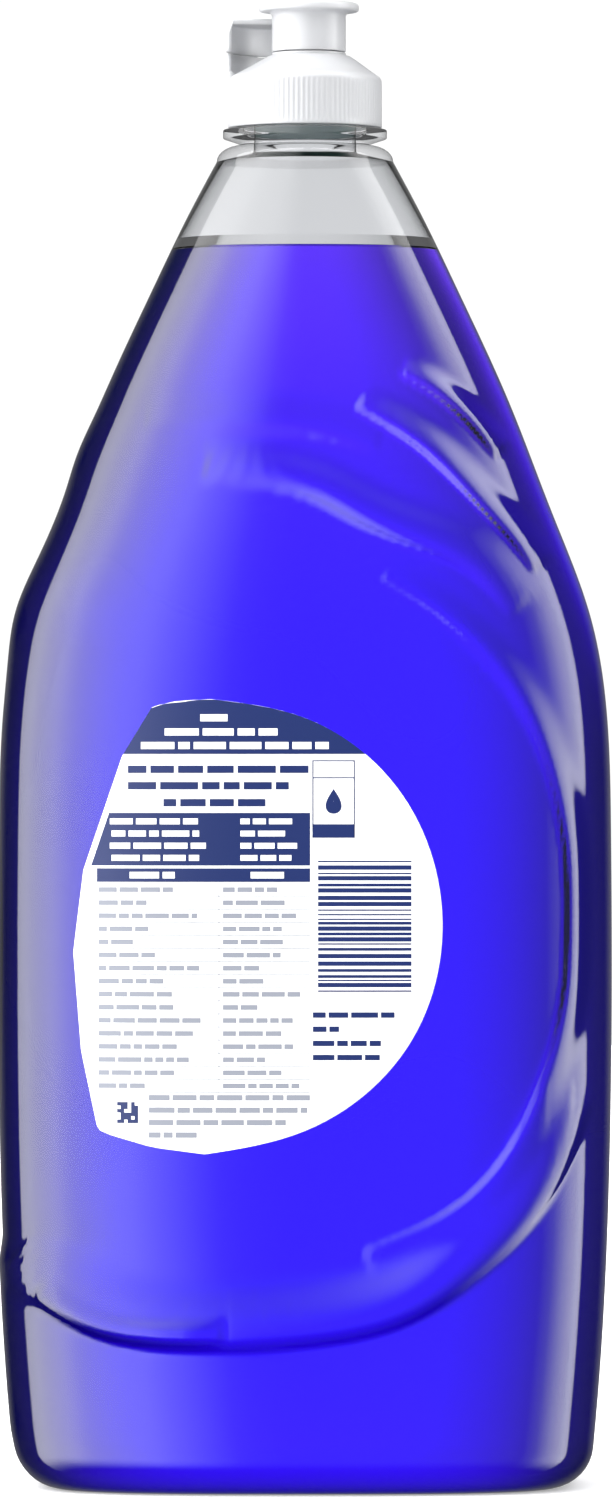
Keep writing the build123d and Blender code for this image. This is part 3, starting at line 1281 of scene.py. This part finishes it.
@dataclass
class CapFrame:
    """Sizes that the closure and its lid share, in the bottle's frame."""

    ring_top: float
    lip: float
    bore: float = 9.0
    hinge_azimuth: float = 145.0
    skirt_radius: float = 13.85
    skirt_bore: float = 12.2
    skirt_height: float = 8.9
    cone_rise: float = 4.0
    collar_height: float = 0.6
    nozzle_height: float = 3.5
    lid_offset: float = 0.85
    stem_radius: float = 6.65
    hinge_radius: float = 14.5
    hinge_wall: float = 0.95
    hinge_inset: float = 0.3
    skirt_lift: float = 0.3
    lip_gap: float = 0.2
    parting_gap: float = 0.2
    columns: int = 384

    def __post_init__(self) -> None:
        """Work out the heights from the neck up."""
        self.skirt_bottom = self.ring_top + self.skirt_lift
        self.skirt_top = self.skirt_bottom + self.skirt_height
        self.deck = self.lip + self.lip_gap
        self.collar_bottom = self.skirt_top + self.cone_rise
        self.collar_top = self.collar_bottom + self.collar_height
        self.lid_bottom = self.collar_top + self.parting_gap
        self.hinge_outer = self.hinge_radius - self.hinge_inset
        turn = math.radians(self.hinge_azimuth - 180)
        self.away = np.array([math.cos(turn), math.sin(turn)])

    def revolve(
        self, profile: np.ndarray, shift: np.ndarray, radial: np.ndarray | None = None
    ) -> np.ndarray:
        """Turn a profile about the neck's axis.

        Args:
            profile: Points as (radius, height).
            shift: How far each point's axis is moved away from the hinge.
            radial: What is added to the radius, as (row, column).

        Returns:
            Points as (row, column, xyz).
        """
        turn = 2 * np.pi * np.arange(self.columns)[None, :] / self.columns
        radius = profile[:, :1] + (0 if radial is None else radial)
        x = radius * np.cos(turn) + shift[:, None] * self.away[0]
        y = radius * np.sin(turn) + shift[:, None] * self.away[1]
        z = np.broadcast_to(profile[:, 1:2], x.shape)
        return np.stack([x, y, z], axis=-1)

    def sector(self, name: str, profile: np.ndarray, span: float, columns: int = 48) -> bpy.types.Object:
        """Turn a closed profile through an angle centred on the hinge, with flat ends.

        Args:
            name: The piece's name.
            profile: Closed loop of (radius, height), counter-clockwise seen with +radius right.
            span: The angle, in degrees.
            columns: Sections along the angle.

        Returns:
            The new object.
        """
        half = math.radians(span / 2)
        turn = math.radians(self.hinge_azimuth) + np.linspace(-half, half, columns)[:, None]
        x, y = profile[None, :, 0] * np.cos(turn), profile[None, :, 0] * np.sin(turn)
        z = np.broadcast_to(profile[None, :, 1], x.shape)
        grid = np.stack([x, y, z], axis=-1)
        count = len(profile)
        faces = quads(columns, count, False, True)[:, ::-1].tolist()
        faces.append(list(range(count)))
        faces.append([(columns - 1) * count + k for k in range(count)][::-1])
        return make_object(name, grid.reshape(-1, 3), faces)


def ring_of(corners: list[tuple[float, float, float]], longest: float) -> np.ndarray:
    """A closed rounded profile: the corners' loop, opened in the middle of its last side."""
    first, last = corners[0], corners[-1]
    middle = ((first[0] + last[0]) / 2, (first[1] + last[1]) / 2, 0.0)
    return refined(rounded([middle, *corners, middle]), longest)[:-1]


@dataclass
class Closure:
    """The screw closure: knurled skirt, cone, plug seal, collar, nozzle and hinge post."""

    cap: CapFrame
    ribs: int = 96
    rib_depth: float = 0.16
    nozzle_radius: float = 4.2
    nozzle_wall: float = 1.2
    orifice: float = 1.6
    plug_wall: float = 0.7
    plug_length: float = 3.0
    plug_clearance: float = 0.3
    post_span: float = 70.0

    def build(self, material: bpy.types.Material) -> list[bpy.types.Object]:
        """Make the turned body and the post under the hinge.

        The knurl takes depth * (1 + cos(ribs * angle)) / 2 off the skirt's radius.

        Args:
            material: Finish of both.

        Returns:
            The body and the post.
        """
        c = self.cap
        nozzle_top = c.collar_top + c.nozzle_height
        nozzle_bore = self.nozzle_radius - self.nozzle_wall
        plug = c.bore - self.plug_clearance
        corners = [
            (c.skirt_radius, c.skirt_bottom, 0.25),
            (c.skirt_radius, c.skirt_top, 1.5),
            (c.stem_radius + 0.7, c.collar_bottom, 0.3),
            (c.stem_radius, c.collar_bottom + 0.1, 0.1),
            (c.stem_radius, c.collar_top, 0.15),
            (self.nozzle_radius, c.collar_top, 0.2),
            (self.nozzle_radius, nozzle_top, 0.5),
            (self.orifice, nozzle_top, 0.15),
            (self.orifice, nozzle_top - 1.0, 0.1),
            (nozzle_bore, nozzle_top - 1.3, 0.3),
            (nozzle_bore, c.deck + 2.6, 0.3),
            (4.9, c.deck + 2.4, 0.5),
            (plug - self.plug_wall, c.deck, 0.3),
            (plug - self.plug_wall, c.deck - self.plug_length, 0.2),
            (plug, c.deck - self.plug_length, 0.2),
            (plug, c.deck, 0.2),
            (c.skirt_bore, c.deck, 0.3),
            (c.skirt_bore, c.skirt_bottom, 0.2),
        ]
        profile = ring_of(corners, 0.5)
        turn = 2 * np.pi * np.arange(c.columns)[None, :] / c.columns
        z, radius = profile[:, 1:2], profile[:, :1]
        band = smoothstep(c.skirt_bottom + 0.6, c.skirt_bottom + 0.9, z)
        band = band * smoothstep(c.skirt_top - 0.6, c.skirt_top - 0.9, z)
        outside = smoothstep(c.skirt_radius - 0.1, c.skirt_radius - 0.02, radius)
        knurl = -self.rib_depth * band * outside * (0.5 + 0.5 * np.cos(self.ribs * turn))
        shift = c.lid_offset * smoothstep(c.skirt_top, c.collar_bottom, profile[:, 1])
        body = tube("closure_body", c.revolve(profile, shift, knurl), Ends.LOOP)
        inner = c.hinge_outer - c.hinge_wall
        post_corners = [
            (c.skirt_radius - 0.25, c.skirt_top - 0.5, 0.4),
            (c.hinge_outer, c.skirt_top + 1.8, 0.6),
            (c.hinge_outer, c.collar_top, 0.2),
            (inner, c.collar_top, 0.2),
            (inner, c.skirt_top + 1.4, 0.6),
            (inner - 1.6, c.skirt_top + 0.3, 0.3),
        ]
        post = c.sector("closure_hinge_post", ring_of(post_corners, 0.5), self.post_span)
        for piece in (body, post):
            dress(piece, material)
            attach(piece, "closure")
        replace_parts(body, "closure")
        return [body, post]


@dataclass
class Lid:
    """The flip lid: stem, thumb flange, sealing pin, and the wall that carries the hinge."""

    cap: CapFrame
    top: float
    flange_radius: float = 9.0
    flange_thickness: float = 1.6
    stem_wall: float = 1.25
    pin_radius: float = 1.3
    pin_depth: float = 0.6
    shell_height: float = 5.9
    shell_span: float = 84.0

    def build(self, material: bpy.types.Material) -> list[bpy.types.Object]:
        """Make the turned stem and the hinge wall with its roof.

        Args:
            material: Finish of both.

        Returns:
            The stem and the hinge wall.
        """
        c = self.cap
        under = self.top - self.flange_thickness
        stem_bore = c.stem_radius - self.stem_wall
        pin_end = c.collar_top + c.nozzle_height - self.pin_depth
        corners = [
            (0.0, pin_end, 0.0),
            (self.pin_radius, pin_end, 0.3),
            (self.pin_radius, under, 0.4),
            (stem_bore, under, 0.6),
            (stem_bore, c.lid_bottom, 0.2),
            (c.stem_radius, c.lid_bottom, 0.2),
            (c.stem_radius, under, 1.0),
            (self.flange_radius, under + 0.1, 0.55),
            (self.flange_radius, self.top, 0.75),
            (0.0, self.top, 0.0),
        ]
        profile = refined(rounded(corners, 7), 0.6)
        shift = np.full(len(profile), c.lid_offset)
        stem = tube("lid_stem", c.revolve(profile, shift), Ends.POLES)
        inner, roof = c.hinge_outer - c.hinge_wall, c.lid_bottom + self.shell_height
        reach = c.stem_radius - c.lid_offset - self.stem_wall / 2
        wall_corners = [
            (inner, c.lid_bottom, 0.2),
            (c.hinge_outer, c.lid_bottom, 0.2),
            (c.hinge_outer, roof, 0.8),
            (reach, roof, 0.1),
            (reach, roof - c.hinge_wall, 0.1),
            (inner, roof - c.hinge_wall, 0.4),
        ]
        wall = c.sector("lid_hinge_wall", ring_of(wall_corners, 0.6), self.shell_span)
        for piece in (stem, wall):
            dress(piece, material)
            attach(piece, "lid")
        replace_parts(stem, "lid")
        return [stem, wall]


@dataclass
class FilmHinge:
    """The thin strap across the parting line."""

    cap: CapFrame
    span: float = 34.0
    thickness: float = 0.3
    reach: float = 0.9
    stand_out: float = 0.12
    bending: float = 0.35

    def build(self, material: bpy.types.Material) -> bpy.types.Object:
        """Make the strap, which reaches from the closure below to the lid above.

        Args:
            material: Its finish.

        Returns:
            The strap.
        """
        c = self.cap
        parting = c.collar_top + c.parting_gap / 2
        outer = c.hinge_outer + self.stand_out
        corners = [
            (outer - self.thickness, parting - self.reach, 0.1),
            (outer, parting - self.reach, 0.1),
            (outer, parting + self.reach, 0.1),
            (outer - self.thickness, parting + self.reach, 0.1),
        ]
        piece = c.sector("film_hinge", ring_of(corners, 0.15), self.span, 24)
        dress(piece, material)
        middle = -c.away * c.hinge_radius * MM
        start = (*middle, (parting - self.bending) * MM)
        end = (*middle, (parting + self.bending) * MM)
        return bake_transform(piece)


# ---- Studio --------------------------------------------------------------------------------


@dataclass(frozen=True)
class Backlight:
    """A soft glow in the surround: its bearing, elevation and width in degrees.

    tall squashes heights, so that under 1 it makes the glow taller than it is wide.
    """

    bearing: float
    elevation: float
    width: float
    strength: float
    tall: float = 1.0


class Signal:
    """A number carried by a node tree, whose arithmetic adds Math nodes."""

    def __init__(
        self, tree: bpy.types.NodeTree, socket: bpy.types.NodeSocket | None, value: float = 0.0
    ) -> None:
        """Hold a socket, or a plain value where the socket is None."""
        self.tree, self.socket, self.value = tree, socket, value

    def maths(self, operation: str, *others: "Signal | float") -> "Signal":
        """The result of one Math node.

        Args:
            operation: The node's operation.
            others: The numbers that follow this one in its inputs.

        Returns:
            The node's output.
        """
        node = add_node(self.tree, "ShaderNodeMath", {"operation": operation}, {})
        for slot, item in enumerate((self, *others)):
            if isinstance(item, Signal) and item.socket is not None:
                self.tree.links.new(item.socket, node.inputs[slot])
            else:
                node.inputs[slot].default_value = item.value if isinstance(item, Signal) else item
        return Signal(self.tree, node.outputs[0])

    def __add__(self, other: "Signal | float") -> "Signal":
        """Sum."""
        return self.maths("ADD", other)

    def __sub__(self, other: "Signal | float") -> "Signal":
        """Difference."""
        return self.maths("SUBTRACT", other)

    def __mul__(self, other: "Signal | float") -> "Signal":
        """Product."""
        return self.maths("MULTIPLY", other)

    def above(self, limit: float) -> "Signal":
        """1 where this is over the limit, and 0 elsewhere."""
        return self.maths("GREATER_THAN", limit)

    def rise(self, low: float, high: float) -> "Signal":
        """Smooth rise from 0 at low to 1 at high."""
        settings = {"interpolation_type": "SMOOTHSTEP", "From Min": low, "From Max": high}
        node = add_node(self.tree, "ShaderNodeMapRange", settings, {"Value": self.socket})
        return Signal(self.tree, node.outputs["Result"])


@dataclass
class Studio:
    """White surround, pale floor, soft boxes and the camera."""

    middle_height: float
    distance: float = 1680.0
    frame_height: float = 270.0
    sensor: float = 36.0
    aside: float = 0.18
    floor_radius: float = 2500.0
    top_light: float = 1.2
    fill: float = 0.5
    dark_room: tuple = (0.0, 0.09, 0.06, 1.0)
    headspace_glow: float = 0.62
    headspace_back: float = 0.16
    eye_white: float = 1.05
    # Light that has crossed more surfaces than these is in the wall, or in the soap.
    wall_crossings: float = 0.5
    soap_crossings: float = 4.5
    lamps: tuple = (
        Backlight(180, -1, 14, 1.4, tall=0.5),
        Backlight(-135, -25, 12, 1.4),
        Backlight(45, -15, 12, 1.4),
        Backlight(-90, -3, 14, 1.4),
    )
    # Bearing in degrees from the camera's back towards +X, and the brightness seen there.
    room: tuple = (
        (-180, 0.2),
        (-158, 0.14),
        (-140, 0.01),
        (-109, 0.01),
        (-106.5, 4.2),
        (-91, 5.7),
        (-58, 5.6),
        (-42, 4.0),
        (-28, 3.3),
        (-17, 2.7),
        (-8, 1.4),
        (-2.5, 0.4),
        (0, 0.25),
        (48, 0.3),
        (58, 1.0),
        (73, 3.8),
        (91, 6.0),
        (96, 5.0),
        (98.5, 0.05),
        (140, 0.01),
        (158, 0.14),
        (180, 0.2),
    )

    def camera(self) -> None:
        """A long lens, level with the middle of the bottle, looking along +Y."""
        data = bpy.data.cameras.new("camera")
        data.sensor_width = self.sensor
        data.lens = self.sensor * self.distance / self.frame_height
        data.clip_start, data.clip_end = 0.05, 50
        camera = bpy.data.objects.new("camera", data)
        camera.location = (self.aside * MM, -self.distance * MM, self.middle_height * MM)
        camera.rotation_euler = (math.pi / 2, 0, 0)
        bpy.context.scene.collection.objects.link(camera)
        bpy.context.scene.camera = camera

    def floor(self) -> None:
        """A plain pale floor that only the eye sees, so that the bottle doesn't mirror it."""
        turn = np.linspace(0, 2 * np.pi, 96, endpoint=False)
        ring = np.stack([np.cos(turn), np.sin(turn), 0 * turn], axis=1) * self.floor_radius
        ring[:, 2] = -0.02
        floor = make_object("floor", ring, [list(range(len(turn)))], smooth=False)
        material, tree, output = new_material("pale_floor")
        paint = add_node(
            tree,
            "ShaderNodeBsdfPrincipled",
            {
                "Base Color": linear("F2F2F4"),
                "Roughness": 0.8,
                "Specular IOR Level": 0.0,
                "Emission Color": (1, 1, 1, 1),
                "Emission Strength": 0.3,
            },
            {},
        )
        clear = add_node(tree, "ShaderNodeBsdfTransparent", {}, {})
        path = add_node(tree, "ShaderNodeLightPath", {}, {})
        links = {0: path.outputs["Is Camera Ray"], 1: clear.outputs[0], 2: paint.outputs[0]}
        mixed = add_node(tree, "ShaderNodeMixShader", {}, links)
        tree.links.new(mixed.outputs[0], output.inputs["Surface"])
        dress(floor, material)

    def surround(self) -> None:
        """White to the eye, and to the bottle a set of backlights and soft boxes.

        The outside of the bottle mirrors the soft boxes. Light that goes through the soap sees
        the backlights, and once it has been mirrored it sees only the dark room, which draws
        the deep edges of the liquid. The clear headspace sees a plainer glow, which fades with
        a mirroring that leaves forwards, and a matt surface sees the soft boxes at half
        strength with an even fill.
        """
        world = bpy.data.worlds.new("studio")
        bpy.context.scene.world = world
        world.use_nodes = True
        tree = world.node_tree
        tree.nodes.clear()
        place = add_node(tree, "ShaderNodeTexCoord", {}, {}).outputs["Generated"]
        parts = add_node(tree, "ShaderNodeSeparateXYZ", {}, {"Vector": place})
        x, y, z = (Signal(tree, parts.outputs[k]) for k in range(3))
        path = add_node(tree, "ShaderNodeLightPath", {}, {})
        crossed = Signal(tree, path.outputs["Transmission Depth"])
        mirrored = Signal(tree, path.outputs["Glossy Depth"])
        eye = Signal(tree, path.outputs["Is Camera Ray"])

        boxes = self.soft_boxes(tree, x.maths("ARCTAN2", y * -1.0)) * z.rise(-0.8, -0.4)
        boxes = boxes + z.rise(0.6, 0.9) * self.top_light
        back = sum((self.backlight(tree, place, lamp) for lamp in self.lamps), Signal(tree, None, 0.0))
        inside, filled = crossed.above(self.wall_crossings), crossed.above(self.soap_crossings)
        soft = Signal(tree, path.outputs["Is Diffuse Ray"])
        boxes = boxes + soft * (boxes * -0.5 + self.fill)
        straight = mirrored.above(0.5) * -1.0 + 1.0
        soap = back * straight
        glance = y.rise(-0.5, 0.5) * 0.1 + 0.1
        glow = back * self.headspace_back + self.headspace_glow
        clear = glow * (glance + straight * (glance * -1.0 + 1.0))
        seen = boxes + inside * (clear - boxes) + filled * (soap - clear)
        light = seen + eye * (seen * -1.0 + self.eye_white)
        white = add_node(tree, "ShaderNodeBackground", {"Color": (1, 1, 1, 1)}, {"Strength": light.socket})
        dark = filled * (eye * -1.0 + 1.0)
        navy = add_node(tree, "ShaderNodeBackground", {"Color": self.dark_room}, {"Strength": dark.socket})
        both = add_node(tree, "ShaderNodeAddShader", {}, {0: white.outputs[0], 1: navy.outputs[0]})
        output = add_node(tree, "ShaderNodeOutputWorld", {}, {})
        tree.links.new(both.outputs[0], output.inputs["Surface"])

    def soft_boxes(self, tree: bpy.types.NodeTree, bearing: Signal) -> Signal:
        """Brightness of the room by bearing.

        Args:
            tree: The world's node tree.
            bearing: Bearing in radians, where 0 is at the camera's back.

        Returns:
            The brightness there.
        """
        place = bearing * (0.5 / math.pi) + 0.5
        ramp = add_node(tree, "ShaderNodeValToRGB", {}, {"Fac": place.socket})
        strongest = max(level for _, level in self.room)
        stops = ramp.color_ramp.elements
        while len(stops) < len(self.room):
            stops.new(0.5)
        for stop, (angle, level) in zip(stops, self.room):
            stop.position = angle / 360 + 0.5
            stop.color = (*[level / strongest] * 3, 1)
        return Signal(tree, ramp.outputs["Color"]) * strongest

    def backlight(
        self, tree: bpy.types.NodeTree, place: bpy.types.NodeSocket, lamp: Backlight
    ) -> Signal:
        """A glow strength * exp(-(angle / width)^1.4) about the lamp's axis.

        The angle is taken with heights squashed by the lamp's tall factor.

        Args:
            tree: The world's node tree.
            place: The direction that is looked in.
            lamp: The backlight.

        Returns:
            Its brightness in that direction.
        """
        kind = "ShaderNodeVectorMath"
        squash = add_node(tree, kind, {"operation": "MULTIPLY", 1: (1, 1, lamp.tall)}, {0: place})
        unit = add_node(tree, kind, {"operation": "NORMALIZE"}, {0: squash.outputs[0]})
        turn, tilt = math.radians(lamp.bearing), math.radians(lamp.elevation)
        level = math.cos(tilt)
        axis = (math.sin(turn) * level, -math.cos(turn) * level, math.sin(tilt) * lamp.tall)
        axis = tuple(float(v) for v in np.array(axis) / np.linalg.norm(axis))
        dot = add_node(tree, kind, {"operation": "DOT_PRODUCT", 1: axis}, {0: unit.outputs[0]})
        angle = Signal(tree, dot.outputs["Value"]).maths("MINIMUM", 1.0).maths("ARCCOSINE")
        share = (angle * (1 / math.radians(lamp.width))).maths("POWER", 1.4)
        return (share * -1.0).maths("EXPONENT") * lamp.strength

    def light_paths(self) -> None:
        """Let light cross the many faces of clear wall, liquid and wall again."""
        scene = bpy.context.scene
        scene.view_settings.view_transform = "Standard"
        scene.cycles.max_bounces = 24
        scene.cycles.transmission_bounces = 20
        scene.cycles.glossy_bounces = 10
        scene.cycles.transparent_max_bounces = 24


# ---- Making --------------------------------------------------------------------------------


def box_mm(node: str) -> tuple[np.ndarray, np.ndarray]:
    """Lowest and highest corner of a CAD node, in millimetres."""
    low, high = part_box(node)
    return np.array(low) / MM, np.array(high) / MM


def main() -> None:
    logging.basicConfig(level=logging.INFO, format="%(name)s: %(message)s")
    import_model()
    bottle_low, bottle_high = box_mm("bottle")
    lip = float(bottle_high[2])
    form = Flank(
        width=float(bottle_high[0] - bottle_low[0]) - WIDTH_TRIM,
        depth=float(bottle_high[1] - bottle_low[1]) - DEPTH_TRIM,
        shoulder_top=lip - NECK_HEIGHT,
    )
    studio = Studio(middle_height=EYE_HEIGHT)
    studio.camera()
    studio.floor()
    studio.surround()
    studio.light_paths()

    inks = Inks(
        film=PrintedFilm("white_label_film", "FBFBFA").build(),
        navy=PrintedFilm("navy_label_ink", "001C56").build(),
        white=PrintedFilm("white_label_ink", "FBFBFA").build(),
        grey=PrintedFilm("grey_label_ink", "8A8E99").build(),
        sky=PrintedFilm("blue_label_ink", "3E8BE0").build(),
    )
    polypropylene = NaturalPolypropylene().build()
    label_low, label_high = box_mm("back_label")
    middle = float(label_low[2] + label_high[2]) / 2

    level = float(box_mm("soap")[1][2])
    made = [Bottle(form, lip).build(ClearPet().build(), EmptyPet().build(), level)]
    made.append(Soap(form, level).build(BlueSoap().build()))
    made += BackLabel(form, -1, "back_label", "bottle", inks, middle).build()
    made += FrontLabel(form, 1, "front_label", "bottle", inks, middle, wide=0.7, high=0.9).build()
    cap = CapFrame(ring_top=lip - FINISH_HEIGHT, lip=lip)
    made += Closure(cap).build(polypropylene)
    made += Lid(cap, float(box_mm("lid")[1][2])).build(polypropylene)
    made.append(FilmHinge(cap).build(polypropylene))
    for piece in made:
        LOG.info("%s: %d vertices", piece.name, len(piece.data.vertices))


if __name__ == "__main__":
    main()
